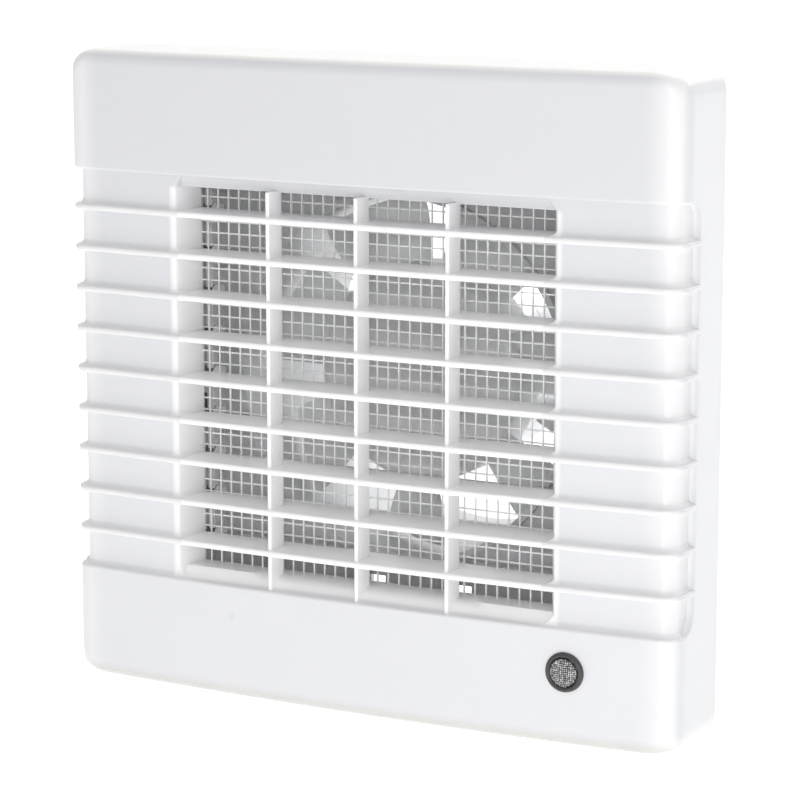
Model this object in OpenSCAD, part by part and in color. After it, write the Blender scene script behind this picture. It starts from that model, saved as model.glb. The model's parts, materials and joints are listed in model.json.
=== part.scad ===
// Wall-mounted axial ventilation unit for a 100 mm duct.
// A bowed front cover with a slatted grille, an insect screen, ten linked shutter
// flaps moved by a thermal actuator, and an impeller on an induction motor that
// sits in the duct spigot.
//
// Frame: the wall plane is y = 0 and the duct runs along +Y. The front faces -Y,
// +X is to the right seen from the room, +Z is up. The origin is on the duct axis.

/* [Casing] */
// Width of the casing across its side walls
case_w = 174; // [173:0.5:176]
// Height of the casing
case_h = 166; // [165:0.5:168]
// Depth from the wall to the front corners of the casing
case_d = 25; // [24.8:0.1:26]
// How far the middle of the front stands out past its corners
bow = 3.6; // [3:0.1:4.5]
// Radius of the upright front corners and of the outline's corners
corner_r = 6; // [4.5:0.5:7]
// Radius of the top and bottom front edges
edge_r = 3.6; // [2:0.2:4]
// Thickness of the moulded walls
wall = 2; // [1.8:0.1:2.2]

/* [Grille] */
// Distance from one fin to the next
pitch = 10.7; // [10.6:0.05:10.8]
// Thickness of a fin and of a grille slat
fin_t = 1.5; // [1.2:0.1:1.8]
// How far the face between the fins is set back
recess = 2.1; // [1.6:0.1:2.2]
// Half the width of the air opening
open_hw = 51.7; // [51.4:0.1:51.9]
// Width of an upright grille rib
rib_t = 1.1; // [0.8:0.1:1.6]
// Depth of an upright grille rib
rib_d = 6.4; // [5:0.2:7]
// Distance between the wires of the insect screen
mesh_pitch = 3.1; // [3.06:0.01:3.12]
// Thickness of a screen wire
wire_t = 0.36; // [0.3:0.02:0.4]

/* [Shutter] */
// Chord of a flap in front of its pivot
flap_front = 2; // [1.8:0.1:2]
// Chord of a flap behind its pivot
flap_back = 9.1; // [8.9:0.1:9.2]
// Thickness of a flap
flap_t = 0.8; // [0.6:0.05:0.8]
// Radius of a flap's pivot pins
pivot_r = 1; // [0.8:0.05:1]
// Distance from a flap's pivot to its drive pin
crank = 3.5; // [3.4:0.05:3.6]
// Turn of a flap from open to shut, in degrees
flap_turn = 84; // [80:1:84]
// Radius of the thermal actuator's body
actuator_r = 6.3; // [5.5:0.1:6.3]

/* [Duct and fan] */
// Outer radius of the duct spigot
spigot_r = 49.5; // [49:0.1:50]
// Inner radius of the duct spigot
bore_r = 46.8; // [46.5:0.1:47]
// Length of the duct spigot behind the wall plane
spigot_l = 50; // [48:1:75]
// Radius of the impeller's hub
hub_r = 28.5; // [27:0.5:29]
// Radius over the tips of the blades
tip_r = 45.6; // [44:0.1:45.8]
// Number of blades
blades = 7; // [5:1:9]
// Set angle of the blades from the plane of rotation
blade_angle = 32; // [28:1:36]
// Radius of the motor shaft
shaft_r = 2.5; // [2:0.1:2.5]

/* [Indicator lamp] */
// Sideways place of the lamp
lamp_x = 58.1; // [57.1:0.5:59.6]
// Height of the lamp
lamp_z = -64; // [-64.5:0.5:-63]
// Outer radius of the lamp's bezel
lamp_r = 5; // [4.8:0.1:5.2]

/* [Hidden] */
$fn = 64;

eps = 0.02;         // face gap between pieces that only touch
gap = 0.3;          // face gap between mouldings
fine = 720;         // segments of the wide bow
plate_t = 1.8;      // base plate of the rear casing
rows = 10;          // air rows, and flaps

half_w = case_w / 2;
half_h = case_h / 2;
apex = case_d + bow;
bow_r = (half_w * half_w + bow * bow) / (2 * bow);
bow_axis_y = bow_r - apex;

band_top = 5 * pitch - 1.45;         // lower edge of the plain band at the top
band_bottom = -53.3;                 // upper edge of the plain band at the bottom
open_top = band_top - 3.25;          // opening at the screen, below the top bevel
open_bottom = band_bottom + 2.8;     // opening at the screen, above the sill
mesh_y = -case_d + 9;                // front of the insect screen
side_recess_y = -14.6;               // where the recess ends on the side walls
step_y = -11.5;                      // where the side walls get their rear thickness

inner_drop = recess + wall;          // inner face behind the fins
rib_x = 25.4;                        // spacing of the upright ribs

// Height of the lower edge of fin k: 0 is the top band's edge, 1 to 9 are fins
function fin_z(k) = (5 - k) * pitch - 1.45;
// Front surface at x, set back by inset
function bow_y(x, inset) = bow_axis_y - sqrt(pow(bow_r - inset, 2) - x * x);

pivot_y = -12.8;
pivot_drop = 1.55;                   // pivot below the fin's lower edge
function pivot_z(i) = fin_z(i) - pivot_drop;
half_turn = flap_turn / 2;
drive_dy = crank * cos(half_turn);
drive_dz = crank * sin(half_turn);
flap_hw = 51;                        // half length of a flap's leaf
ear_t = 2;                           // width of a flap's crank ear
rail_in_left = -54;                  // inner face of the left bearing rail
rail_in_right = 51.4;                // inner face of the right bearing rail
rail_t = 2;
frame_top = 55.4;
frame_bottom = -55.9;
frame_front = -14.5;
bar_x = -51.3;                       // right face of the link bar
bar_t = 1.9;
bar_hw = 1.15;
arm_t = 1.6;
arm_top = pivot_z(5) - 2.05;         // top of the link bar's side arm
actuator_x = -66;
actuator_y = pivot_y + drive_dy;
actuator_z0 = -58;
actuator_l = 42;
plunger_tip = arm_top - arm_t - 0.25;
spring_x = -76.5;
spring_z0 = -34;

motor_y = 22;                        // front face of the motor
motor_r = 26;
core_y = 25;
core_l = 14;
motor_back = 43;
spider_y = motor_back;
hub_front = 5.5;
hub_l = 14.5;
blade_turn = 43;                     // how far the first blade lies below the level

white = "#F4F5F6";
shade = "#E4E6E8";
dark = "#2E3033";
steel = "#B9BDC2";
brass = "#C9A75C";
copper = "#B5673A";

// ---------- shared shapes ----------

module span(x0, x1, y0, y1, z0, z1) {
    translate([x0, y0, z0]) cube([x1 - x0, y1 - y0, z1 - z0]);
}

module rod_x(x0, x1, y, z, r) {
    translate([x0, y, z]) rotate([0, 90, 0]) cylinder(r = r, h = x1 - x0);
}

module rod_y(x, z, y0, y1, r) {
    translate([x, y0, z]) rotate([-90, 0, 0]) cylinder(r = r, h = y1 - y0);
}

module rod_z(x, y, z0, z1, r) {
    translate([x, y, z0]) cylinder(r = r, h = z1 - z0);
}

module tube_y(x, z, y0, y1, r_out, r_in) {
    difference() {
        rod_y(x, z, y0, y1, r_out);
        rod_y(x, z, y0 - 1, y1 + 1, r_in);
    }
}

module rounded_rect(hw, z0, z1, r) {
    union() {
        translate([-hw + r, z0]) square([2 * (hw - r), z1 - z0]);
        translate([-hw, z0 + r]) square([2 * hw, z1 - z0 - 2 * r]);
        for (sx = [-1, 1], z = [z0 + r, z1 - r]) translate([sx * (hw - r), z]) circle(r = r);
    }
}

// A drawing in X and Z made solid from y0 to y1
module upright(y0, y1) {
    translate([0, y1, 0]) rotate([90, 0, 0]) linear_extrude(y1 - y0) children();
}

// Everything behind the bowed front surface, with rounded top and bottom edges
module bowed(inset, z0, z1, edge) {
    r = bow_r - inset;
    translate([0, bow_axis_y, 0]) rotate_extrude($fn = fine) union() {
        translate([bow_r - 60, z0]) square([r - edge - bow_r + 60, z1 - z0]);
        translate([bow_r - 60, z0 + edge]) square([r - bow_r + 60, z1 - z0 - 2 * edge]);
        if (edge > 0) for (z = [z0 + edge, z1 - edge]) translate([r - edge, z]) circle(r = edge);
    }
}

// Plan of the casing with its rounded front corners, made solid from z0 to z1
module plan(inset, r, y_back, z0, z1) {
    xc = half_w - inset - r;
    yc = bow_y(xc, inset) - eps + r;
    translate([0, 0, z0]) linear_extrude(z1 - z0) union() {
        translate([-xc, -apex - 3]) square([2 * xc, y_back + apex + 3]);
        translate([-half_w + inset, yc]) square([case_w - 2 * inset, y_back - yc]);
        for (sx = [-1, 1]) translate([sx * xc, yc]) circle(r = r);
    }
}

// A screw along +Y, its head in front of y, with a cross recess
module screw_y(x, z, y, shank_r, length, head_r, head_h) {
    difference() {
        union() {
            rod_y(x, z, y - head_h, y, head_r);
            rod_y(x, z, y - 0.1, y + length, shank_r);
        }
        span(x - head_r * 0.6, x + head_r * 0.6, y - head_h - 1, y - head_h / 2, z - 0.25, z + 0.25);
        span(x - 0.25, x + 0.25, y - head_h - 1, y - head_h / 2, z - head_r * 0.6, z + head_r * 0.6);
    }
}

// A round lead swept along points, with eight sides
module lead(points, r) {
    n = len(points);
    sides = 8;
    function along(i) = points[min(i + 1, n - 1)] - points[max(i - 1, 0)];
    function unit(v) = v / norm(v);
    function side(t) = unit(cross(t, abs(t.y) > 0.9 * norm(t) ? [0, 0, 1] : [0, 1, 0]));
    rings = [
        for (i = [0 : n - 1])
            let (t = unit(along(i)), u = side(t), v = cross(t, u))
                for (s = [0 : sides - 1])
                    points[i] + r * (cos(360 * s / sides) * u + sin(360 * s / sides) * v)
    ];
    walls = [
        for (i = [0 : n - 2], s = [0 : sides - 1])
            let (a = i * sides + s, b = i * sides + (s + 1) % sides)
                [a, b, b + sides, a + sides]
    ];
    caps = [
        [for (s = [sides - 1 : -1 : 0]) s],
        [for (s = [0 : sides - 1]) (n - 1) * sides + s]
    ];
    polyhedron(points = rings, faces = concat(walls, caps));
}

// ---------- casing ----------

module casing_outer() {
    // the outline stands out by eps, so that its flat sides don't lie on the others
    intersection() {
        bowed(0, -half_h, half_h, edge_r);
        intersection() {
            plan(0, corner_r, -gap, -half_h - 1, half_h + 1);
            upright(-apex - 2, 0) rounded_rect(half_w + eps, -half_h - eps, half_h + eps, corner_r);
        }
    }
}

// The air between the fins, on the front and on the front part of the sides
module fin_gaps() {
    difference() {
        span(-half_w - 1, half_w + 1, -apex - 1, side_recess_y, band_bottom, band_top);
        intersection() {
            bowed(recess, band_bottom - 2, band_top + 2, 0);
            plan(recess, corner_r - recess, 0, band_bottom - 2, band_top + 2);
        }
        for (k = [1 : rows - 1])
            span(-half_w - 2, half_w + 2, -apex - 2, side_recess_y + 1, fin_z(k), fin_z(k) + fin_t);
    }
}

module cover_cavity() {
    thin_z0 = band_bottom - wall;
    thin_z1 = band_top + wall;
    intersection() {
        bowed(wall, -half_h + wall, half_h - wall, 0);
        span(-half_w + wall, half_w - wall, step_y, 1, -half_h, half_h);
    }
    for (z = [[-half_h + wall, thin_z0 + eps], [thin_z1 - eps, half_h - wall]])
        intersection() {
            bowed(wall, z[0], z[1], 0);
            span(-half_w + 2 * wall, half_w - 2 * wall, -apex, step_y + 1, -half_h, half_h);
        }
    intersection() {
        bowed(inner_drop, thin_z0, thin_z1, 0);
        span(-half_w + inner_drop, half_w - inner_drop, -apex, step_y + 1, -half_h, half_h);
    }
}

module opening_cut() {
    span(-open_hw, open_hw, -apex - 1, mesh_y + 1, open_bottom, open_top);
    bevel_y0 = -apex + recess;
    translate([-open_hw, 0, 0]) rotate([90, 0, 90]) linear_extrude(2 * open_hw) union() {
        polygon([[-apex - 1, open_top - 1], [bevel_y0 + 4, open_top - 1], [bevel_y0 + 4, open_top],
            [bevel_y0, band_top], [-apex - 1, band_top]]);
        polygon([[-apex - 1, open_bottom + 1], [bevel_y0 + 4, open_bottom + 1],
            [bevel_y0 + 4, open_bottom], [bevel_y0, band_bottom], [-apex - 1, band_bottom]]);
    }
}

head_drop = 1;                       // how far the cover screw's head is sunk

module front_cover() {
    tunnel_t = 1.6;
    lamp_seat = -apex + recess;
    color(white) difference() {
        union() {
            difference() {
                casing_outer();
                fin_gaps();
                cover_cavity();
            }
            // walls of the air opening, back to the insect screen
            intersection() {
                bowed(recess + 1, -half_h, half_h, 0);
                span(-open_hw - tunnel_t, open_hw + tunnel_t, -apex, mesh_y,
                    open_bottom - tunnel_t, open_top + tunnel_t);
            }
            // collar behind the lamp
            rod_y(lamp_x, lamp_z, -apex + 3.2, -apex + 7.5, lamp_r + 1);
        }
        opening_cut();
        rod_y(lamp_x, lamp_z, -apex - 1, lamp_seat, lamp_r + 0.05);
        rod_y(lamp_x, lamp_z, lamp_seat - 1, -apex + 9, lamp_r - 0.5);
        rod_z(0, -8, -half_h - 1, -half_h + head_drop, 3.1);
        rod_z(0, -8, -half_h - 1, -half_h + wall + 1, 1.7);
    }
}

module louvre_grille() {
    color(white) union() {
        intersection() {
            bowed(0, open_bottom, open_top, 0);
            union() for (k = [1 : rows - 1])
                span(-open_hw, open_hw, -apex - 1, mesh_y, fin_z(k), fin_z(k) + fin_t);
        }
        intersection() {
            bowed(1.3, open_bottom, open_top, 0);
            union() for (i = [-1 : 1])
                span(i * rib_x - rib_t / 2, i * rib_x + rib_t / 2, -apex - 1,
                    bow_y(i * rib_x, 1.3) + rib_d, open_bottom, open_top);
        }
    }
}

// ---------- insect screen ----------

screen_y0 = mesh_y + eps;
screen_y1 = screen_y0 + 2 * wire_t + eps;

module screen_frame() {
    margin = 2.8;
    color(shade) upright(screen_y0, screen_y1) difference() {
        translate([-open_hw - margin, open_bottom - margin])
            square([2 * (open_hw + margin), open_top - open_bottom + 2 * margin]);
        translate([-open_hw, open_bottom]) square([2 * open_hw, open_top - open_bottom]);
    }
}

module screen_wires() {
    mid_z = (open_top + open_bottom) / 2;
    n = floor((open_hw - wire_t) / mesh_pitch);
    m = floor(((open_top - open_bottom) / 2 - wire_t) / mesh_pitch);
    color(shade) {
        for (i = [-n : n]) span(i * mesh_pitch - wire_t / 2, i * mesh_pitch + wire_t / 2,
            screen_y0, screen_y0 + wire_t, open_bottom, open_top);
        for (i = [-m : m]) span(-open_hw, open_hw, screen_y1 - wire_t, screen_y1,
            mid_z + i * mesh_pitch - wire_t / 2, mid_z + i * mesh_pitch + wire_t / 2);
    }
}

// ---------- rear casing ----------

wall_screw_x = 76;
wall_screw_z = 73;
cable_x = 30;
cable_z = 69;
cable_hole_r = 6;
post_x = [45, 67];
post_z = -74;
board_y = -17;
board_t = 1.6;
lug_x = [40, 30];
lug_z = [frame_top + rail_t + 3, frame_bottom - rail_t - 3];
spider_angles = [90, 210, 330];
arm_w = 1.6;                         // half width of a bracket arm
arm_d = 12;                          // depth of a bracket arm
notch = 1;                           // how far the arms sit in the spigot's wall
clip_screw_x = -79;
clip_screw_z = -40;
motor_screw_r = 21;

plate_hw = half_w - wall - gap;
plate_hh = half_h - wall - gap;
rim_t = 1.6;
seat_r = spigot_r - 1;               // outside of the spigot where it sits in the plate
lip_y = -3.4;                        // front edge of the spigot, inside the casing
lead_x = 3.4;                        // motor leads, sideways
lead_z = 47.4;                       // motor leads, height of their groove
lead_y = -2.55;                      // motor leads, behind the flaps

// Flat base plate with its holes
module rear_casing() {
    color(white) difference() {
        upright(-plate_t, 0) rounded_rect(plate_hw, -plate_hh, plate_hh, 4);
        rod_y(0, 0, -plate_t - 1, 1, seat_r + 0.05);
        rod_y(0, 0, -0.5, 1, spigot_r + 0.1);
        for (sx = [-1, 1], sz = [-1, 1])
            rod_y(sx * wall_screw_x, sz * wall_screw_z, -plate_t - 1, 1, 2.25);
        rod_y(cable_x, cable_z, -plate_t - 1, 1, cable_hole_r);
        for (i = [0, 1], sx = [-1, 1]) rod_y(sx * lug_x[i], lug_z[i], -plate_t - 1, 1, 1.25);
        for (dx = [-6, 6]) rod_y(cable_x - 13, cable_z + dx, -plate_t - 1, 1, 1.1);
        rod_y(clip_screw_x, clip_screw_z, -plate_t - 1, 1, 1.1);
        // drain slots at the foot of the shutter
        for (x = [-7.5, 17.6]) span(x - 2.2, x + 2.2, -plate_t - 1, 1, frame_bottom, frame_bottom + 3.4);
    }
}

// Raised rim of the base plate, which carries the cover
module base_rim() {
    color(white) difference() {
        upright(-8, -plate_t) difference() {
            rounded_rect(plate_hw, -plate_hh, plate_hh, 4);
            rounded_rect(plate_hw - rim_t, -plate_hh + rim_t, plate_hh - rim_t, 2.4);
        }
        rod_z(0, -8, -half_h, -half_h + 10, 1.5);
    }
}

// Posts on the base plate: the cover screw's lug, the board's two and the spring's
module base_posts() {
    lug_z0 = -plate_hh + rim_t + 0.5;
    color(white) {
        difference() {
            span(-5, 5, -13, -plate_t, lug_z0, lug_z0 + 7.6);
            rod_z(0, -8, lug_z0 - 1, lug_z0 + 9, 1.25);
        }
        for (x = post_x) tube_y(x, post_z, board_y + board_t, -plate_t, 2.4, 1);
        rod_y(spring_x, spring_z0 - 1.65, actuator_y - 1, -plate_t, 1.6);
    }
}

// Round spigot through the base plate, notched inside for the motor bracket
module duct_spigot() {
    color(white) difference() {
        union() {
            tube_y(0, 0, eps, spigot_l, spigot_r, bore_r);
            tube_y(0, 0, lip_y, 1, seat_r, bore_r);
        }
        for (a = spider_angles) rotate([0, -a, 0])
            span(bore_r - 1, bore_r + notch + 0.05, spider_y - arm_d - 0.05, spigot_l + 1,
                -arm_w - 0.05, arm_w + 0.05);
        // grooves for the motor's leads, open at the front edge
        for (sx = [-1, 1]) {
            rod_y(sx * lead_x, lead_z, lip_y - 1, spider_y - 4, 1.2);
            span(sx * lead_x - 1.2, sx * lead_x + 1.2, lip_y - 1, -plate_t + 0.6, lead_z - 2, spigot_r + 1);
        }
    }
}

// Three arms and a ring behind the motor
module motor_bracket() {
    color(white) difference() {
        union() {
            for (a = spider_angles) rotate([0, -a, 0])
                span(motor_r - 3, bore_r + notch, spider_y - arm_d, spider_y + 3, -arm_w, arm_w);
            rod_y(0, 0, spider_y, spider_y + 3, motor_r);
        }
        rod_y(0, 0, 0, spider_y, motor_r + 0.4);
        rod_y(0, 0, spider_y - 1, spider_y + 4, 7);
        for (a = spider_angles) rotate([0, -a - 60, 0])
            rod_y(motor_screw_r, 0, spider_y - 1, spider_y + 4, 1.7);
    }
}

// ---------- shutter ----------

module shutter_frame() {
    x0 = rail_in_left - rail_t;
    x1 = rail_in_right + rail_t;
    color(shade) difference() {
        union() {
            difference() {
                span(x0, x1, frame_front, -plate_t, frame_bottom - rail_t, frame_top + rail_t);
                span(rail_in_left, rail_in_right, frame_front - 1, 0, frame_bottom, frame_top);
            }
            for (sx = [-1, 1]) {
                span(sx * lug_x[0] - 4, sx * lug_x[0] + 4, -4.8, -plate_t, frame_top + 1, lug_z[0] + 3);
                span(sx * lug_x[1] - 4, sx * lug_x[1] + 4, -4.8, -plate_t, lug_z[1] - 3, frame_bottom - 1);
            }
        }
        for (i = [0 : rows - 1]) rod_x(x0 - 1, x1 + 1, pivot_y, pivot_z(i), pivot_r + 0.05);
        // window for the link bar's arm
        span(x0 - 1, rail_in_left + 1, actuator_y - 4, actuator_y + 4, pivot_z(6) + 1.75, pivot_z(5) - 1.75);
        for (i = [0, 1], sx = [-1, 1]) rod_y(sx * lug_x[i], lug_z[i], -6, 0, 1.6);
        // notches for the motor's leads
        for (sx = [-1, 1]) span(sx * lead_x - 1.6, sx * lead_x + 1.6, -4.4, 0,
            frame_top - 1, frame_top + rail_t + 1);
    }
}

// Flap i of ten, counted from the top, lying open
module flap(i) {
    z = pivot_z(i - 1);
    color(white) translate([0, pivot_y, z]) union() {
        span(-flap_hw, flap_hw, -flap_front, flap_back, -flap_t / 2, flap_t / 2);
        rod_x(-flap_hw, flap_hw, 0, 0, 1.1);
        rod_x(rail_in_left - rail_t, -flap_hw + 1, 0, 0, pivot_r);
        rod_x(flap_hw - 1, rail_in_right + rail_t, 0, 0, pivot_r);
        // crank ear with its drive pin
        rotate([half_turn, 0, 0]) span(-flap_hw, -flap_hw + ear_t, 0, crank, -1.3, 1.3);
        rod_x(-flap_hw, -flap_hw + ear_t, 0, 0, 1.3);
        rod_x(-flap_hw, -flap_hw + ear_t, drive_dy, drive_dz, 1.3);
        rod_x(bar_x - bar_t - 0.2, -flap_hw + 1, drive_dy, drive_dz, 0.8);
    }
}

module link_bar() {
    y = actuator_y;
    z0 = pivot_z(rows - 1) + drive_dz;
    z1 = pivot_z(0) + drive_dz;
    x0 = bar_x - bar_t;
    color(shade) difference() {
        union() {
            span(x0, bar_x, y - bar_hw, y + bar_hw, z0 - 1.4, z1 + 1.4);
            // side arm: over the plunger, and on to the spring's eye
            span(spring_x - 2.6, x0 + 0.1, y - bar_hw, y + bar_hw, arm_top - arm_t, arm_top);
            span(actuator_x - 3, actuator_x + 3, y - 3, y + 3, arm_top - arm_t, arm_top);
        }
        for (i = [0 : rows - 1]) rod_x(x0 - 1, bar_x + 1, y, pivot_z(i) + drive_dz, 0.85);
        rod_z(spring_x, y, arm_top - arm_t - 1, arm_top + 1, 0.6);
    }
}

module actuator_body() {
    z1 = actuator_z0 + actuator_l;
    color(dark) difference() {
        union() {
            rod_z(actuator_x, actuator_y, actuator_z0, z1, actuator_r);
            rod_z(actuator_x, actuator_y, z1 - 0.1, z1 + 2.5, 3.4);
            for (dx = [-2.5, 2.5]) span(actuator_x + dx - 0.4, actuator_x + dx + 0.4, actuator_y - 1.4,
                actuator_y + 1.4, actuator_z0 - 5, actuator_z0 + 0.1);
        }
        rod_z(actuator_x, actuator_y, z1 - 14, z1 + 3, 1.65);
    }
}

module actuator_plunger() {
    z1 = actuator_z0 + actuator_l;
    color(steel) union() {
        rod_z(actuator_x, actuator_y, z1 - 6, plunger_tip, 1.6);
        rod_z(actuator_x, actuator_y, plunger_tip - 1.4, plunger_tip, 2.2);
    }
}

module actuator_clip() {
    z0 = -44;
    z1 = -36;
    color(shade) difference() {
        union() {
            span(actuator_x - 7.8, actuator_x + 7.8, actuator_y, -plate_t, z0, z1);
            rod_z(actuator_x, actuator_y, z0, z1, 7.8);
            span(-82, actuator_x - 7, -4.2, -plate_t, z0, z1 - 1.7);
        }
        rod_z(actuator_x, actuator_y, z0 - 1, z1 + 1, actuator_r + 0.05);
        rod_y(clip_screw_x, clip_screw_z, -6, 0, 1.3);
    }
}

// Plain envelope of the coil that pulls the flaps shut
module return_spring() {
    color(steel) difference() {
        rod_z(spring_x, actuator_y, spring_z0, arm_top - arm_t - 0.4, 2.1);
        rod_z(spring_x, actuator_y, spring_z0 - 1, arm_top, 1.5);
    }
}

// ---------- motor and impeller ----------

module stator_core() {
    color(steel) difference() {
        rod_y(0, 0, core_y, core_y + core_l, motor_r - 2);
        rod_y(0, 0, core_y - 1, core_y + core_l + 1, 12.1);
        for (a = [0 : 90 : 270]) rotate([0, a + 45, 0]) rod_y(17.8, 0, core_y - 1, core_y + core_l + 1, 4);
    }
}

module stator_coils() {
    color(copper) for (a = [0 : 90 : 270]) rotate([0, a + 45, 0])
        rod_y(17.8, 0, core_y - 1.6, core_y + core_l + 1.6, 3.9);
}

module disc_between(y_a, y_b, r) {
    rod_y(0, 0, min(y_a, y_b), max(y_a, y_b), r);
}

// A cup over one end of the motor, with a short seat for its bearing
module end_cap(y_face, y_lip, y_seat) {
    inward = sign(y_lip - y_face);
    skin = 1.4;
    difference() {
        disc_between(y_face, y_lip, motor_r);
        difference() {
            disc_between(y_face + inward * skin, y_lip + inward, motor_r - 1.95);
            disc_between(y_face, y_seat, 6.4);
        }
        rod_y(0, 0, motor_y - 1, motor_back + 1, 5);
    }
}

module motor_front_cap() {
    color(steel) end_cap(motor_y, core_y + core_l / 2 - 0.1, motor_y + 1.6);
}

module motor_rear_cap() {
    color(steel) difference() {
        end_cap(motor_back, core_y + core_l / 2 + 0.1, motor_back - 2);
        for (a = spider_angles) rotate([0, -a - 60, 0])
            rod_y(motor_screw_r, 0, motor_back - 3, motor_back + 1, 1.25);
    }
}

module front_bearing() {
    color(brass) tube_y(0, 0, motor_y - 0.6, motor_y + 1.8, 5, shaft_r + 0.05);
}

module rear_bearing() {
    color(brass) tube_y(0, 0, motor_back - 2.2, motor_back + 1.4, 5, shaft_r + 0.05);
}

module rotor() {
    color(steel) tube_y(0, 0, core_y, core_y + core_l, 11.8, shaft_r);
}

module motor_shaft() {
    color(steel) rod_y(0, 0, hub_front + 3, motor_back + 3, shaft_r);
}

// Hub of the impeller, a cup with a sleeve for the shaft
module impeller() {
    color(white) {
        difference() {
            rod_y(0, 0, hub_front, hub_front + hub_l, hub_r);
            rod_y(0, 0, hub_front + 1.6, hub_front + hub_l + 1, hub_r - 1.6);
        }
        tube_y(0, 0, hub_front + 1.5, hub_front + 12, 4.6, shaft_r);
    }
}

// Blades set round the hub, wider towards their tips
module impeller_blades() {
    root = 10.2; // half chords at the hub and at the tip
    tip = 13.6;
    run = tip_r - hub_r + 8;
    color(white) intersection() {
        tube_y(0, 0, hub_front, hub_front + hub_l, tip_r, hub_r + eps);
        for (i = [0 : blades - 1])
            rotate([0, blade_turn + i * 360 / blades, 0])
                translate([hub_r - 4, hub_front + hub_l / 2, 0]) rotate([blade_angle, 0, 0])
                    translate([0, 0.7, 0]) rotate([90, 0, 0]) linear_extrude(1.4)
                        polygon([[0, -root], [run, -tip], [run, tip], [0, root]]);
    }
}

module motor_screws() {
    color(steel) for (a = spider_angles) rotate([0, -a - 60, 0])
        translate([0, 2 * spider_y + 3, 0]) mirror([0, 1, 0])
            screw_y(motor_screw_r, 0, spider_y, 1.2, 4.2, 2.6, 1.5);
}

module shutter_screws() {
    color(steel) for (i = [0, 1], sx = [-1, 1])
        screw_y(sx * lug_x[i], lug_z[i], -4.8, 1.2, 4.3, 2.4, 1.5);
}

// ---------- electrical parts ----------

term_x = [-16, -7, 2];
term_z = 68;

module terminal_block() {
    color(shade) difference() {
        span(-21, 7, -14.5, -plate_t, 61.5, 74.5);
        for (x = term_x) {
            rod_y(x, term_z, -15, -11, 2.3);
            rod_y(x, term_z, -12, -7.95, 1.55);
            rod_z(x, -5.6, 60, 76, 1.8);
        }
    }
}

module terminal_screws() {
    color(brass) for (x = term_x) screw_y(x, term_z, -11, 1.5, 3, 2.2, 1.6);
}

module control_board() {
    color("#2F6B4A") difference() {
        span(42, 70, board_y, board_y + board_t, -78, -58.5);
        for (x = post_x) rod_y(x, post_z, board_y - 1, board_y + 3, 1.2);
    }
}

module board_parts() {
    color(dark) {
        span(43.5, 51, board_y - 5, board_y, -72, -63);
        span(44, 54, board_y + board_t, board_y + board_t + 6, -71, -62);
        rod_y(63, -66.5, board_y + board_t, board_y + board_t + 7, 3);
    }
}

module board_screws() {
    color(steel) for (x = post_x) screw_y(x, post_z, board_y, 0.95, 7, 2, 1.3);
}

module lamp_led() {
    color("#C9D8D0") union() {
        rod_y(lamp_x, lamp_z, board_y - 3.2, board_y, 2.5);
        translate([lamp_x, board_y - 3.2, lamp_z]) sphere(r = 2.45);
    }
}

lamp_seat_y = -apex + recess;

module lamp_bezel() {
    color(dark) difference() {
        union() {
            rod_y(lamp_x, lamp_z, lamp_seat_y - 1.4, lamp_seat_y - eps, lamp_r);
            rod_y(lamp_x, lamp_z, lamp_seat_y - 0.5, -apex + 8.4, lamp_r - 0.55);
        }
        rod_y(lamp_x, lamp_z, lamp_seat_y - 2, -apex + 9, lamp_r - 1.4);
    }
}

module lamp_lens() {
    r = lamp_r - 1.45;
    color("#55585C") union() {
        rod_y(lamp_x, lamp_z, lamp_seat_y - 1.5, -apex + 4.1, r);
        intersection() {
            translate([lamp_x, lamp_seat_y + 6.5, lamp_z]) sphere(r = 8.4);
            rod_y(lamp_x, lamp_z, lamp_seat_y - 3, lamp_seat_y - 1, r);
        }
    }
}

module cable_grommet() {
    color(dark) difference() {
        union() {
            rod_y(cable_x, cable_z, -plate_t - 2.2, -plate_t - eps, cable_hole_r + 2);
            rod_y(cable_x, cable_z, -plate_t - 0.5, -0.1, cable_hole_r - 0.05);
        }
        rod_y(cable_x, cable_z, -5, 1, 3.6);
    }
}

module cord_clamp() {
    x = cable_x - 13;
    color(shade) difference() {
        span(x - 3.5, x + 3.5, -9.4, -plate_t, cable_z - 9, cable_z + 9);
        rod_x(x - 4, x + 4, -4.6, cable_z, 3.4);
        for (dz = [-6, 6]) rod_y(x, cable_z + dz, -10, 0, 1.3);
    }
}

module clamp_screws() {
    color(steel) for (dz = [-6, 6]) screw_y(cable_x - 13, cable_z + dz, -9.4, 1.05, 8.8, 2.2, 1.4);
}

module clip_screw() {
    color(steel) screw_y(clip_screw_x, clip_screw_z, -4.2, 1.05, 3.7, 2, 1.3);
}

module cover_screw() {
    head_z = -half_h + head_drop;
    color(steel) difference() {
        union() {
            rod_z(0, -8, head_z - 0.9, head_z - eps, 2.9);
            rod_z(0, -8, head_z - 0.1, head_z + 10, 1.2);
        }
        span(-1.7, 1.7, -8.25, -7.75, head_z - 3, head_z - 0.5);
        span(-0.25, 0.25, -9.7, -6.3, head_z - 3, head_z - 0.5);
    }
}

// ---------- inner leads ----------

// Two leads from the motor: out beside an arm, along the grooves and up to the terminals
module motor_leads() {
    color(dark) for (i = [0, 1]) {
        x = i == 0 ? lead_x : -lead_x;
        lead([
            [x, 38, 25.8], [x, 38, 40], [x, 37.5, 44], [x, 36, 46.2], [x, 33.5, lead_z], [x, 20, lead_z],
            [x, 0, lead_z], [x, -1.8, lead_z + 0.3], [x, lead_y - 0.1, lead_z + 1.4], [x, lead_y, 52],
            [x, lead_y, 56], [(x + term_x[2 - i]) / 2, -3, 59], [term_x[2 - i], -4.4, 60.6],
            [term_x[2 - i], -5.6, 61.9]
        ], 0.7);
    }
}

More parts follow.
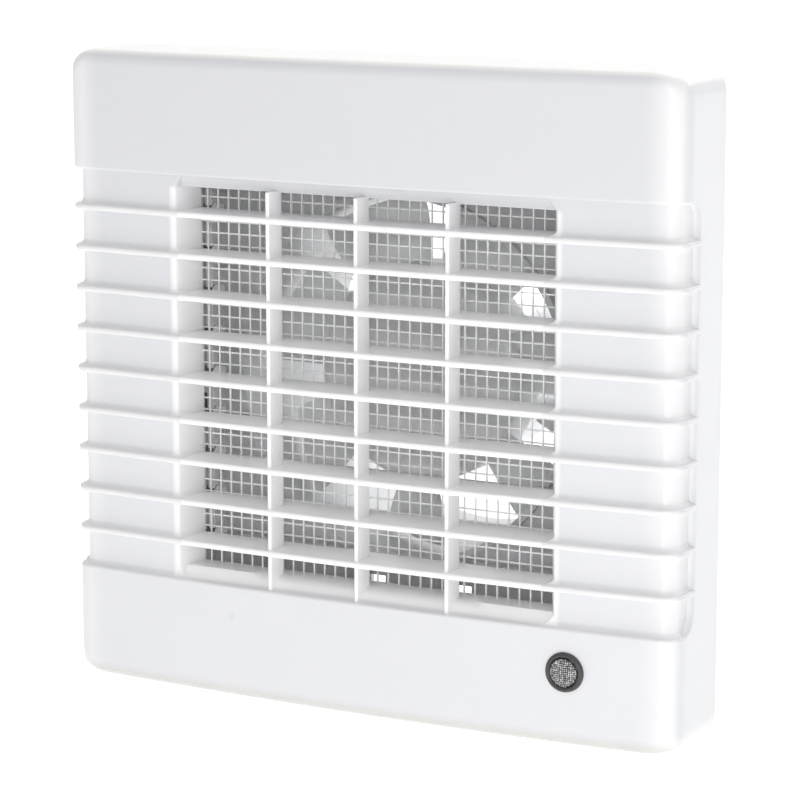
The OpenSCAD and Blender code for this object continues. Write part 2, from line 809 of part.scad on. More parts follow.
// Two leads from the actuator's tags to the control board, the left one the lower
module actuator_leads() {
    color(dark) for (side = [-1, 1]) {
        x = actuator_x + side * 2.5;
        drop = side < 0 ? 3 : 0;
        lead([
            [x, actuator_y, actuator_z0 - 5.1], [x, actuator_y, -65], [x + 1, actuator_y, -68 - drop],
            [x + 5, actuator_y, -71 - drop], [-50, actuator_y, -72 - drop], [-36, actuator_y, -71 - drop],
            [-20, actuator_y, -66 - drop], [0, actuator_y, -63.5 - drop], [20, actuator_y, -63 - drop],
            [30, -12, -63 - drop], [36, -17, -64.5 - drop], [40, board_y - 2.5, -65 - drop],
            [43.48, board_y - 2.5, -65 - drop]
        ], 0.7);
    }
}

module lamp_leads() {
    color(dark) lead([
        [58, board_y + board_t, -61.5], [58, -12.5, -61.4], [59.5, -9, -59.5], [63, -6.5, -55],
        [66, -6, -46], [66, -6, -20], [66, -6, 20], [66, -6, 46], [64, -7, 60], [57, -8, 70],
        [46, -9, 76], [32, -11.2, 77.2], [17, -12.4, 77.2], [7, -10.2, 77.3], [3, -7.4, 77],
        [2, -5.8, 75.6], [2, -5.6, 74]
    ], 0.7);
}

front_cover();
louvre_grille();
screen_frame();
screen_wires();
rear_casing();
base_rim();
base_posts();
duct_spigot();
motor_bracket();
shutter_frame();
flap(1);  // flap_1
flap(2);  // flap_2
flap(3);  // flap_3
flap(4);  // flap_4
flap(5);  // flap_5
flap(6);  // flap_6
flap(7);  // flap_7
flap(8);  // flap_8
flap(9);  // flap_9
flap(10);  // flap_10
link_bar();
actuator_body();
actuator_plunger();
actuator_clip();
return_spring();
stator_core();
stator_coils();
motor_front_cap();
motor_rear_cap();
front_bearing();
rear_bearing();
rotor();
motor_shaft();
impeller();
impeller_blades();
motor_screws();
shutter_screws();
terminal_block();
terminal_screws();
control_board();
board_parts();
board_screws();
lamp_led();
lamp_bezel();
lamp_lens();
cable_grommet();
cord_clamp();
clamp_screws();
clip_screw();
cover_screw();
motor_leads();
actuator_leads();
lamp_leads();
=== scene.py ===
"""Looks of a wall-mounted ventilation unit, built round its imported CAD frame."""
import json
import math

import bmesh
import bpy
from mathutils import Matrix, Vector


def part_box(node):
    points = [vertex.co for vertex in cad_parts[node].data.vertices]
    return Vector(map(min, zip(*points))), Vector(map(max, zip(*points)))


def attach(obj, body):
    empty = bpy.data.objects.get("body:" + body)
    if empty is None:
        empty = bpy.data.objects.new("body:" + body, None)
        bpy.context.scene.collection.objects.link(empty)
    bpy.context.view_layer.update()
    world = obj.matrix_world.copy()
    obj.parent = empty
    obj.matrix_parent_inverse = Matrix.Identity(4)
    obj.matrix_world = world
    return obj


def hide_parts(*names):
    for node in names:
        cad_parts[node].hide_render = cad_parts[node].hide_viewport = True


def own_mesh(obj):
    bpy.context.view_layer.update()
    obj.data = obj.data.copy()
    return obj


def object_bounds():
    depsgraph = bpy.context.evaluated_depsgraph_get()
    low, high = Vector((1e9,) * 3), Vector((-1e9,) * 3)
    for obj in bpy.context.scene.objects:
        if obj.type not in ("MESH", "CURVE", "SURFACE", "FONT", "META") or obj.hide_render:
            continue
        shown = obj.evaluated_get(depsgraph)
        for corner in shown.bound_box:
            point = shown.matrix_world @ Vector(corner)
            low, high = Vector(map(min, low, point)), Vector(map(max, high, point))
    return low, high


MM = 0.001

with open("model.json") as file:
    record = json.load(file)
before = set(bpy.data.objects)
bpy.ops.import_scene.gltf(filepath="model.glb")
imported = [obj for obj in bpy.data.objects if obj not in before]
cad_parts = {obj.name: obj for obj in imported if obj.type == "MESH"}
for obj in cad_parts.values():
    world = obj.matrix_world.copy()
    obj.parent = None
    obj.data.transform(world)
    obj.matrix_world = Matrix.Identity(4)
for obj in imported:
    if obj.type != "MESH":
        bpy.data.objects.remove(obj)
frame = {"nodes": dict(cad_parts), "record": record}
CAD_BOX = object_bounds()
nodes = frame["nodes"]


# ---------- dimensions that the CAD source states, in millimetres ----------

HALF_W, HALF_H = 87.0, 83.0
APEX = 28.6                 # front of the cover at its middle
BOW = 3.6                   # how far the front falls back at its sides
BOW_R = (HALF_W ** 2 + BOW ** 2) / (2 * BOW)
BOW_AXIS = BOW_R - APEX
CORNER_R, EDGE_R, WALL = 6.0, 3.6, 2.0
RECESS = 2.1                # row faces behind the fins' fronts
ROWS, PITCH, FIN_T = 10, 10.7, 1.5
ROWS_DROP = 1.45            # the middle fin's lower face below the cover's middle
OPEN_HW, OPEN_TOP, OPEN_BOTTOM = 51.7, 48.8, -50.5
BAND_TOP, BAND_BOTTOM = 52.05, -53.3
MESH_Y, BACK_Y = -16.0, -0.3
BEVEL_Y = -22.5             # back of the slopes above and below the opening
SIDE_RECESS_Y, STEP_Y = -14.6, -11.5
TUNNEL_T = 1.6
INNER_HW = OPEN_HW + TUNNEL_T
RIB_X, RIB_T, RIB_D, RIB_BACK = 25.4, 1.1, 6.4, 1.3
LAMP_X, LAMP_Z, LAMP_R = 58.1, -64.0, 5.0
SCREW_Y, SCREW_HEAD_R, SCREW_HOLE_R = -8.0, 3.1, 1.7
BLADES, BLADE_TURN = 7, 43.0
HUB_R, TIP_R, HUB_FRONT, HUB_L = 28.5, 45.6, 5.5, 14.5
PIVOT_Y, PIVOT_DROP, PIN_DY, PIN_DZ = -12.8, 1.55, 2.60, 2.34

# Sizes that only the visible pieces have, in millimetres
COVE_R, NOSE_R, CHIN_R = 1.45, 0.62, 0.5   # above, on top of and under a fin's front
BAND_SOFT = 0.7             # rounding of the bands' inner edges
JAMB_R, JAMB_FLARE, JAMB_FROM = 1.1, 1.9, 0.75
RECESS_END_TOP, RECESS_END_BOTTOM = 4.5, 6.0   # rounded ends of the side recess
STEP_SOFT = 0.45            # rounding where the side recess ends
LENS_CELL = 0.52            # one facet of the lamp's lens
N_CENTRE, N_FACE, N_CORNER, N_SIDE, N_REAR, N_JAMB = 12, 12, 12, 3, 3, 7   # steps
WELD, SHARP = 0.002, 38.0   # merging distance, and the angle that stays sharp


def fin_z(k):
    """Lower face of fin k; 0 is the top band's edge."""
    return (ROWS / 2 - k) * PITCH - ROWS_DROP


def bow_y(x, inset):
    """Front of the cover at x, set back by inset."""
    return BOW_AXIS - math.sqrt((BOW_R - inset) ** 2 - x * x)


def blend_value(a, b, t):
    """The value a share t of the way from a to b."""
    return a + (b - a) * t


def arc(n, start=0.0, end=90.0):
    """n + 1 angles, as (sine, cosine) pairs."""
    turns = [math.radians(blend_value(start, end, i / n)) for i in range(n + 1)]
    return [(math.sin(turn), math.cos(turn)) for turn in turns]


# ---------- materials ----------

MIX_FACTOR, MIX_A, MIX_B, MIX_RESULT = 0, 6, 7, 2   # the Mix node's colour sockets


class Shader:
    """A Principled material and short helpers for its procedural nodes."""

    def __init__(self, name, roughness, metallic=0.0, **sockets):
        self.material = bpy.data.materials.new(name)
        self.material.use_nodes = True
        self.tree = self.material.node_tree
        self.bsdf = self.tree.nodes["Principled BSDF"]
        self.bsdf.inputs["Roughness"].default_value = roughness
        self.bsdf.inputs["Metallic"].default_value = metallic
        for key, value in sockets.items():
            self.bsdf.inputs[key.replace("_", " ")].default_value = value
        self.coords = self.node("ShaderNodeTexCoord").outputs["Object"]

    def node(self, kind, **settings):
        made = self.tree.nodes.new(kind)
        for key, value in settings.items():
            setattr(made, key, value)
        return made

    def link(self, source, target):
        self.tree.links.new(source, target)

    def noise(self, scale, detail=3.0, stretch=None):
        made = self.node("ShaderNodeTexNoise")
        made.inputs["Scale"].default_value = scale
        made.inputs["Detail"].default_value = detail
        source = self.coords
        if stretch:
            mapping = self.node("ShaderNodeMapping")
            mapping.inputs["Scale"].default_value = stretch
            self.link(self.coords, mapping.inputs["Vector"])
            source = mapping.outputs["Vector"]
        self.link(source, made.inputs["Vector"])
        return made.outputs["Fac"]

    def ramp(self, source, low, high, start=0.3, end=0.7):
        made = self.node("ShaderNodeValToRGB")
        made.color_ramp.elements[0].position = start
        made.color_ramp.elements[1].position = end
        made.color_ramp.elements[0].color = (*low, 1)
        made.color_ramp.elements[1].color = (*high, 1)
        self.link(source, made.inputs["Fac"])
        return made.outputs["Color"]

    def spread(self, source, low, high):
        made = self.node("ShaderNodeMapRange")
        made.inputs["To Min"].default_value = low
        made.inputs["To Max"].default_value = high
        self.link(source, made.inputs["Value"])
        return made.outputs["Result"]

    def axes(self):
        """The three object coordinates, in metres."""
        split = self.node("ShaderNodeSeparateXYZ")
        self.link(self.coords, split.inputs[0])
        return [split.outputs[axis] for axis in "XYZ"]

    def window(self, source, zone):
        """0 where the zone (mm) starts, rising smoothly to 1 where it ends, either way up."""
        start, end = (edge * MM for edge in zone)
        made = self.node("ShaderNodeMapRange", interpolation_type="SMOOTHSTEP")
        low, high = min(start, end), max(start, end)
        made.inputs["From Min"].default_value = low
        made.inputs["From Max"].default_value = high
        made.inputs["To Min"].default_value = 0.0 if start < end else 1.0
        made.inputs["To Max"].default_value = 1.0 if start < end else 0.0
        self.link(source, made.inputs["Value"])
        return made.outputs["Result"]

    def feed(self, value, target):
        """Join a socket to the target, or set a fixed value on it."""
        if isinstance(value, bpy.types.NodeSocket):
            self.link(value, target)
        else:
            target.default_value = value

    def maths(self, operation, first, second=None):
        made = self.node("ShaderNodeMath", operation=operation)
        self.link(first, made.inputs[0])
        if second is not None:
            self.feed(second, made.inputs[1])
        return made.outputs[0]

    def blend(self, factor, first, second, kind="MIX"):
        """Mix a second colour over the first; the factor and the second may be fixed."""
        made = self.node("ShaderNodeMix", data_type="RGBA", blend_type=kind)
        self.feed(factor, made.inputs[MIX_FACTOR])
        self.link(first, made.inputs[MIX_A])
        self.feed(second, made.inputs[MIX_B])
        return made.outputs[MIX_RESULT]

    def bump(self, source, depth):
        made = self.node("ShaderNodeBump")
        made.inputs["Distance"].default_value = depth
        self.link(source, made.inputs["Height"])
        self.link(made.outputs["Normal"], self.bsdf.inputs["Normal"])

    def colour(self, source):
        self.link(source, self.bsdf.inputs["Base Color"])

    def roughness(self, source):
        self.link(source, self.bsdf.inputs["Roughness"])


SKIN_SCALE, SKIN_DEPTH = 900, 0.00001     # the fine skin of a moulding
COAT_ROUGHNESS = 0.12


def moulded(name, low, high, rough, coat=0.0):
    """Moulded plastic: faint colour drift, uneven gloss and a fine skin."""
    m = Shader(name, rough, Coat_Weight=coat, Coat_Roughness=COAT_ROUGHNESS)
    m.colour(m.ramp(m.noise(18), low, high))
    m.roughness(m.spread(m.noise(60), rough - 0.05, rough + 0.06))
    m.bump(m.noise(SKIN_SCALE, 2.0), SKIN_DEPTH)
    return m.material


def metal(name, low, high, rough):
    """Bare metal with fine drawn marks and uneven polish."""
    m = Shader(name, rough, metallic=1.0)
    marks = m.noise(700, 4.0, stretch=(1, 6, 1))
    m.colour(m.ramp(marks, low, high))
    m.roughness(m.spread(m.noise(160), rough - 0.08, rough + 0.1))
    m.bump(marks, 0.000012)
    return m.material


WAVE_SCALE = 0.314          # the Wave node's scale for one band in a metre


def layered(name, low, high, rough, pitch, axis, metallic):
    """A stack or a winding: fine bands pitch mm apart along an axis, slightly uneven."""
    m = Shader(name, rough, metallic)
    wave = m.node("ShaderNodeTexWave", wave_type="BANDS", bands_direction=axis)
    wave.inputs["Scale"].default_value = WAVE_SCALE / (pitch * MM)
    wave.inputs["Distortion"].default_value = 0.6
    m.link(m.coords, wave.inputs["Vector"])
    m.colour(m.ramp(wave.outputs["Fac"], low, high, 0.15, 0.7))
    m.roughness(m.spread(m.noise(300), rough - 0.08, rough + 0.12))
    m.bump(wave.outputs["Fac"], 0.00005)
    return m.material


def board():
    """Solder mask over faint tracks, with a fine weave in the gloss."""
    m = Shader("green laminate", 0.3)
    tracks = m.node("ShaderNodeTexBrick")
    for key, value in (("Scale", 260), ("Color1", (0.02, 0.11, 0.055, 1)),
                       ("Color2", (0.025, 0.13, 0.065, 1)), ("Mortar", (0.04, 0.19, 0.09, 1))):
        tracks.inputs[key].default_value = value
    m.link(m.coords, tracks.inputs["Vector"])
    m.colour(tracks.outputs["Color"])
    m.roughness(m.spread(m.noise(900), 0.22, 0.42))
    m.bump(m.noise(1500, 2.0), 0.00002)
    return m.material


# Where the cover's painted light and shade begin and where they are full, in millimetres
ROWS_BELOW, ROWS_ABOVE = (52.5, 51.5), (-54.5, -52.5)
OPENING_PAINTED_LIGHT_SIDE, OPENING_PAINTED_LIGHT_BELOW, OPENING_PAINTED_LIGHT_DEPTH = (56.0, 54.6), (49.4, 48.2), (-26.5, -25.2)
FIN_PAINTED_HIGHLIGHT_DEPTH = (-26.8, -27.8)
UPPER_PAINTED_SHADE, CORNER_PAINTED_HIGHLIGHT, SIDE_PAINTED_SHADE = (-60, 75), (76, 84), (85.2, 86.8)
TOP_FACE_PAINTED_LIGHT, LOWER_EDGE_PAINTED_SHADE = (81.5, 82.8), (-78.5, -82.2)
BOW_CURVE = 0.476           # metres the bowed front falls back, per square metre of x


def cover_white_painted_light():
    """Gloss white with painted light: highlights on the fins, opening, corners and top; shade high
    up, at the sides and the lower edge.
    """
    m = Shader("gloss white plastic, painted light and shade", 0.3, Coat_Weight=0.2, Coat_Roughness=COAT_ROUGHNESS)
    colour = m.ramp(m.noise(18), (0.765, 0.77, 0.795), (0.78, 0.785, 0.805))
    x, y, z = m.axes()
    across = m.maths("ABSOLUTE", x)
    rows = m.maths("MULTIPLY", m.window(z, ROWS_BELOW), m.window(z, ROWS_ABOVE))
    # mask for the painted light in the opening: its jambs, lips and inner walls
    opening = m.maths("MULTIPLY", m.window(across, OPENING_PAINTED_LIGHT_SIDE), m.window(z, OPENING_PAINTED_LIGHT_BELOW))
    opening = m.maths("MULTIPLY", opening, rows)
    opening = m.maths("MULTIPLY", opening, m.window(y, OPENING_PAINTED_LIGHT_DEPTH))
    # mask for the painted highlight on the fins' fronts, which follow the bowed front
    fall = m.maths("MULTIPLY", m.maths("MULTIPLY", x, x), BOW_CURVE)
    fins = m.maths("MULTIPLY", rows, m.window(m.maths("SUBTRACT", y, fall), FIN_PAINTED_HIGHLIGHT_DEPTH))
    for zone, painted_light_colour in (
            # painted shade, darker towards the top
            (m.window(z, UPPER_PAINTED_SHADE), (0.715, 0.72, 0.745, 1)),
            # painted highlight on the rounded front corners
            (m.window(across, CORNER_PAINTED_HIGHLIGHT), (0.85, 0.85, 0.86, 1)),
            # painted shade on the side walls
            (m.window(across, SIDE_PAINTED_SHADE), (0.73, 0.735, 0.75, 1)),
            # painted highlight on the fins' fronts
            (fins, (0.86, 0.86, 0.865, 1)),
            # painted light in the opening
            (opening, (0.925, 0.925, 0.93, 1)),
            # painted light on the top face
            (m.window(z, TOP_FACE_PAINTED_LIGHT), (0.93, 0.925, 0.915, 1)),
            # painted shade on the lower edge
            (m.window(z, LOWER_EDGE_PAINTED_SHADE), (0.60, 0.59, 0.565, 1))):
        colour = m.blend(zone, colour, painted_light_colour)
    m.colour(colour)
    m.roughness(m.spread(m.noise(60), 0.25, 0.36))
    m.bump(m.noise(SKIN_SCALE, 2.0), SKIN_DEPTH)
    return m.material


def lens_smoke_painted_glints():
    """Smoke-grey lens with a painted glint in the middle of each small facet, some fainter."""
    m = Shader("faceted smoke lens, painted glints", 0.15)
    x, _, z = m.axes()
    flat = m.node("ShaderNodeCombineXYZ")
    m.link(x, flat.inputs["X"])
    m.link(z, flat.inputs["Y"])
    cells = m.node("ShaderNodeTexVoronoi", voronoi_dimensions="2D")
    cells.inputs["Scale"].default_value = 1 / (LENS_CELL * MM)
    cells.inputs["Randomness"].default_value = 0.25
    m.link(flat.outputs["Vector"], cells.inputs["Vector"])
    # painted glint: near white at each facet's middle, smoke grey round it
    painted_glint = m.ramp(cells.outputs["Distance"], (0.95, 0.95, 0.96), (0.14, 0.135, 0.135), 0.16, 0.48)
    # makes some painted glints fainter than others
    drift = m.ramp(m.noise(1500, 2.0), (0.30, 0.30, 0.30), (1.0, 1.0, 1.0), 0.35, 0.65)
    m.colour(m.blend(1.0, painted_glint, drift, "MULTIPLY"))
    return m.material


MATERIALS = {
    "cover_plastic": cover_white_painted_light(),
    "casing_plastic": moulded("white plastic", (0.80, 0.805, 0.815), (0.83, 0.835, 0.845), 0.36),
    "screen_plastic": moulded("pale mesh plastic", (0.93, 0.935, 0.935), (0.95, 0.95, 0.95), 0.4),
    "shutter_plastic": moulded("satin white plastic", (0.88, 0.885, 0.89), (0.91, 0.915, 0.92),
                               0.42),
    "impeller_plastic": moulded("pale grey plastic", (0.93, 0.935, 0.935), (0.95, 0.955, 0.955),
                                0.32),
    "dark_plastic": moulded("dark plastic", (0.045, 0.043, 0.043), (0.065, 0.062, 0.062), 0.28),
    "fitting_plastic": moulded("natural plastic", (0.60, 0.60, 0.56), (0.67, 0.66, 0.62), 0.45),
    "lamp_smoke": lens_smoke_painted_glints(),
    "led_resin": moulded("clear resin", (0.60, 0.68, 0.64), (0.70, 0.76, 0.72), 0.1),
    "board_laminate": board(),
    "rubber": moulded("black rubber", (0.012, 0.012, 0.012), (0.025, 0.025, 0.025), 0.7),
    "lead_insulation": moulded("lead insulation", (0.02, 0.03, 0.10), (0.03, 0.04, 0.14), 0.5),
    "steel": metal("zinc plated steel", (0.55, 0.56, 0.58), (0.70, 0.71, 0.73), 0.3),
    "lamination": layered("sheet steel stack", (0.16, 0.17, 0.18), (0.42, 0.43, 0.45), 0.42,
                          0.6, "Y", 0.9),
    "brass": metal("brass", (0.72, 0.50, 0.20), (0.85, 0.62, 0.28), 0.25),
    "copper_winding": layered("enamelled copper", (0.30, 0.09, 0.03), (0.72, 0.30, 0.12), 0.3,
                              0.45, "Z", 0.7),
}
# A lighter copy of the cover's white for the slats and ribs: painted light inside the opening
GRILLE_WHITE_PAINTED_LIGHTER = moulded("gloss white grille, painted lighter", (0.97, 0.97, 0.975), (0.98, 0.98, 0.985), 0.34,
                       coat=0.15)


def finish_nodes():
    """Give every CAD node the material of its slot."""
    slots = {row["node"]: row["material_slot"] for row in frame["record"]["subparts"]}
    for name, obj in nodes.items():
        obj.data.materials.clear()
        obj.data.materials.append(MATERIALS[slots[name]])


finish_nodes()


# ---------- mesh helpers ----------


def build_object(name, verts, faces, body, slot, sharp=SHARP, material=None):
    """A piece from points in millimetres: welded, closed, with edges sharp past an angle."""
    bm = bmesh.new()
    points = [bm.verts.new([c * MM for c in v]) for v in verts]
    for f in faces:
        ring = []
        for i in f:
            if not ring or points[i] is not ring[-1]:
                ring.append(points[i])
        if len(set(ring)) > 2:
            try:
                bm.faces.new(ring)
            except ValueError:
                pass
    bmesh.ops.remove_doubles(bm, verts=bm.verts, dist=WELD * MM)
    bmesh.ops.dissolve_degenerate(bm, edges=bm.edges, dist=WELD * MM)
    bmesh.ops.recalc_face_normals(bm, faces=bm.faces)
    mesh = bpy.data.meshes.new(name)
    bm.to_mesh(mesh)
    bm.free()
    obj = bpy.data.objects.new(name, mesh)
    bpy.context.scene.collection.objects.link(obj)
    shade(mesh, sharp)
    mesh.materials.append(material or MATERIALS[slot])
    if body:
        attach(obj, body)
    return obj


def shade(mesh, sharp):
    """Smooth faces, with every edge past the angle left sharp."""
    bm = bmesh.new()
    bm.from_mesh(mesh)
    limit = math.radians(sharp)
    for f in bm.faces:
        f.smooth = True
    for e in bm.edges:
        e.smooth = len(e.link_faces) == 2 and e.calc_face_angle() < limit
    bm.to_mesh(mesh)
    bm.free()


def keep_flats(obj):
    """Weighted normals, so that flat faces stay flat beside rounded edges."""
    weighted = obj.modifiers.new("flats", "WEIGHTED_NORMAL")
    weighted.keep_sharp = True


def grid_faces(rows, columns, closed=False):
    """Faces of a grid of points; closed joins the last column to the first."""
    faces = []
    for i in range(rows - 1):
        here, below = i * columns, (i + 1) * columns
        for j in range(columns if closed else columns - 1):
            k = (j + 1) % columns
            faces.append((here + j, here + k, below + k, below + j))
    return faces


def lathe(profile, centre, n=96):
    """Points and faces of a profile of (radius, y) turned about a line along Y."""
    verts = []
    for r, y in profile:
        for s in range(n):
            a = 2 * math.pi * s / n
            verts.append((centre[0] + r * math.cos(a), y, centre[1] + r * math.sin(a)))
    return verts, grid_faces(len(profile), n, closed=True)


def capped_lathe(profile, centre, n=64):
    """A lathe closed by a flat face at each end."""
    verts, faces = lathe(profile, centre, n)
    return verts, faces + end_faces(n, len(profile) - 1)


def turned_up(profile, centre):
    """A capped round bar of (radius, z) points, standing along Z at (x, y)."""
    verts, faces = capped_lathe(profile, (0, 0), 48)
    return [(centre[0] + a, centre[1] + b, z) for a, z, b in verts], faces


def end_faces(n, last):
    """Faces that close the first and the last ring of n points."""
    return [tuple(range(n)), tuple(range(last * n, (last + 1) * n))]


def mirrored(verts, faces):
    """The points and faces with their mirror image across x = 0."""
    n = len(verts)
    both = list(verts) + [(-x, y, z) for x, y, z in verts]
    return both, list(faces) + [tuple(i + n for i in reversed(f)) for f in faces]


def merged(parts):
    """Several sets of points and faces as one."""
    verts, faces = [], []
    for v, f in parts:
        n = len(verts)
        verts += v
        faces += [tuple(i + n for i in ring) for ring in f]
    return verts, faces


# ---------- front cover ----------


def half_width(z):
    """Half the cover's width at a height, less at its rounded corners."""
    over = abs(z) - (HALF_H - CORNER_R)
    if over <= 0:
        return HALF_W
    return HALF_W - CORNER_R + math.sqrt(max(0.0, CORNER_R ** 2 - over ** 2))


def recess_back(z):
    """Where the side recess ends: a straight line with rounded ends."""
    for near, r in ((BAND_TOP - z, RECESS_END_TOP), (z - BAND_BOTTOM, RECESS_END_BOTTOM)):
        if near <= 0:
            return SIDE_RECESS_Y - r
        if near < r:
            return SIDE_RECESS_Y - (r - math.sqrt(r * r - (r - near) ** 2))
    return SIDE_RECESS_Y


class Level:
    """One height of the cover: how far its front and side are set back there.

    A band runs across the whole cover, a strip has a sloped lip between its band and
    the opening, a row has the opening in it, and an end is where the opening begins.
    """

    def __init__(self, kind, z, front, side=None):
        self.kind, self.z, self.front = kind, z, front
        self.side = front if side is None else side

    def slope(self):
        """How far down the lip's slope the level lies: 0 at the band, 1 at the opening."""
        a, b = (BAND_TOP, OPEN_TOP) if self.z > 0 else (BAND_BOTTOM, OPEN_BOTTOM)
        return min(1.0, max(0.0, (self.z - a) / (b - a)))

    def lip_y(self, x):
        """The lip's surface at x."""
        return blend_value(bow_y(x, self.front), BEVEL_Y, self.slope())


def cove(kind, foot):
    """Levels of the hollow that rises from a front at foot to the recessed face."""
    return [Level(kind, foot + COVE_R * (1 - s), RECESS - COVE_R * (1 - c))
            for s, c in arc(7, 0, 90)]


def fin_levels(k):
    """Levels of fin k: cove, nose, chin, and the narrow step below it."""
    top, low = fin_z(k) + FIN_T, fin_z(k)
    rows = cove("row", top)
    rows += [Level("row", top - NOSE_R * (1 - s), NOSE_R * (1 - c)) for s, c in arc(5, 90, 0)]
    rows += [Level("row", low + CHIN_R * (1 - s), CHIN_R * (1 - c)) for s, c in arc(4, 0, 90)]
    rows += [Level("row", low - down, RECESS - back)
             for down, back in ((0, 0.35), (0.1, 0.1), (0.35, 0))]
    return rows


def cover_levels():
    """The cover's levels, from its top edge down."""
    rows = [Level("band", HALF_H - EDGE_R + EDGE_R * s, EDGE_R * (1 - c), side=0.0)
            for s, c in arc(10, 90, 0)]
    rows += [Level("band", z, 0) for z in (78.2, HALF_H - CORNER_R, 70, 62)]
    rows += [Level("band", BAND_TOP + BAND_SOFT * (1 - s), BAND_SOFT * (1 - c))
             for s, c in arc(5, 0, 90)]
    rows.append(Level("strip", BAND_TOP, RECESS - 0.3))
    rows += [Level("strip", z, RECESS) for z in (BAND_TOP - 0.3, 51.2, 50.4, 49.6, OPEN_TOP)]
    rows.append(Level("end", OPEN_TOP, RECESS))
    rows += [Level("row", z, RECESS) for z in (48.0, 47.0, 45.6)]
    for k in range(1, ROWS):
        rows += fin_levels(k)
        if k < ROWS - 1:
            rows.append(Level("row", fin_z(k) - 4.0, RECESS))
    rows += [Level("row", z, RECESS) for z in (-47.6, -49.2)]
    rows += [Level(kind, OPEN_BOTTOM, RECESS) for kind in ("end", "strip")]
    rows += cove("strip", BAND_BOTTOM)
    rows += [Level("band", BAND_BOTTOM - BAND_SOFT * (1 - s), BAND_SOFT * (1 - c))
             for s, c in arc(5, 90, 0)]
    rows += [Level("band", z, 0) for z in (-58, -64, -70, -(HALF_H - CORNER_R), -78.2)]
    rows += [Level("band", -(HALF_H - EDGE_R + EDGE_R * s), EDGE_R * (1 - c), side=0.0)
             for s, c in arc(10, 0, 90)]
    return rows


def outer_row(level):
    """Outside points of one level on the right half, from the opening to the back edge."""
    z, front, side = level.z, level.front, level.side
    hw = half_width(z)
    xc, r = hw - CORNER_R, CORNER_R - side
    start, jamb = OPEN_HW, []
    if level.kind != "band":
        face = bow_y(OPEN_HW, front)
        lip = level.lip_y(OPEN_HW) if level.kind in ("strip", "end") else BEVEL_Y
        back = MESH_Y if level.kind in ("row", "end") else lip
        open_up = max(0.0, front - JAMB_FROM) / (RECESS - JAMB_FROM)
        if level.kind == "strip":
            open_up = min(open_up, max(0.0, (lip - face) / (BEVEL_Y - face)))
        turn, flare = JAMB_R * open_up, JAMB_FLARE * open_up
        start = OPEN_HW + flare + turn
        y0 = bow_y(start, front)
        mid = OPEN_HW + flare * (MESH_Y - lip) / (MESH_Y - y0)
        jamb = [(OPEN_HW if back > lip else mid, back), (mid, lip)]
        for s, c in arc(N_JAMB, 0, 90)[:-1]:
            jamb.append((start - turn * c, y0 + turn * (1 - s)))
    line = []
    for i in range(N_FACE + 1):
        x = blend_value(start, xc, i / N_FACE)
        line.append((x, bow_y(x, front)))
    yc = bow_y(xc, front) + r
    for s, c in arc(N_CORNER, 0, 90)[1:]:
        line.append((xc + r * s, yc - r * c))
    stop = max(recess_back(z), yc + 0.3)
    for i in range(1, N_SIDE + 1):
        line.append((hw - side, blend_value(yc, stop, i / N_SIDE)))
    soft = min(STEP_SOFT, side)
    line += [(hw - soft * inward, stop + soft * back)
             for inward, back in ((0.7, 0.08), (0.2, 0.35), (0, 1))]
    for i in range(1, N_REAR + 1):
        line.append((hw, blend_value(stop + soft, BACK_Y, i / N_REAR)))
    return [(x, y, z) for x, y in jamb], [(x, y, z) for x, y in line]


def inside_drop(z):
    """How far the inside lies behind the bowed front: more behind the recessed rows."""
    return RECESS + WALL if BAND_BOTTOM - WALL < z < BAND_TOP + WALL else WALL


def inside_z(z):
    """A height kept inside the top and bottom walls."""
    return max(-HALF_H + WALL, min(HALF_H - WALL, z))


def tunnel_z(z):
    """A height kept outside the walls of the opening."""
    return max(z, OPEN_TOP + TUNNEL_T) if z > 0 else min(z, OPEN_BOTTOM - TUNNEL_T)


def inner_row(level, jamb, line):
    """Inside points that answer the outside ones."""
    z, drop = inside_z(level.z), inside_drop(level.z)
    hw = half_width(level.z)
    xc = hw - CORNER_R
    yc = bow_y(xc, level.front) + CORNER_R - level.side
    r = CORNER_R - drop
    face_end, corner_end = N_FACE, N_FACE + N_CORNER
    side_end = corner_end + N_SIDE
    line_in = []
    for j, p in enumerate(line):
        if j <= face_end:
            x = max(p[0], INNER_HW)
            line_in.append((x, bow_y(x, drop), z))
        elif j <= corner_end:
            s, c = arc(N_CORNER, 0, 90)[j - face_end]
            line_in.append((xc + r * s, yc - r * c, z))
        elif j <= side_end:
            line_in.append((hw - drop, blend_value(yc, STEP_Y, (j - corner_end) / N_SIDE), z))
        else:
            t = (j - side_end - 1) / (len(line) - side_end - 2)
            line_in.append((hw - WALL, blend_value(STEP_Y, BACK_Y, t), z))
    zj = z if level.kind == "row" else tunnel_z(z)
    jamb_in = []
    for j in range(len(jamb)):
        at_mesh = j == 0 and level.kind in ("row", "end")
        jamb_in.append((INNER_HW, MESH_Y if at_mesh else bow_y(INNER_HW, RECESS + WALL), zj))
    return jamb_in, line_in


def centre_rows(level, jamb):
    """Outside and inside points between the middle and the opening's edge."""
    outer, inner = [], []
    for i in range(N_CENTRE + 1):
        x = OPEN_HW * i / N_CENTRE
        xi = x if i < N_CENTRE else INNER_HW
        if level.kind == "band":
            outer.append((x, bow_y(x, level.front), level.z))
            inner.append((xi, bow_y(x, inside_drop(level.z)), inside_z(level.z)))
            continue
        at_mesh = level.kind == "end"
        if i == N_CENTRE and jamb:
            outer.append(jamb[0])
        else:
            outer.append((x, MESH_Y if at_mesh else level.lip_y(x), level.z))
        inner.append((xi, MESH_Y if at_mesh else bow_y(xi, RECESS + WALL), tunnel_z(level.z)))
    return outer, inner


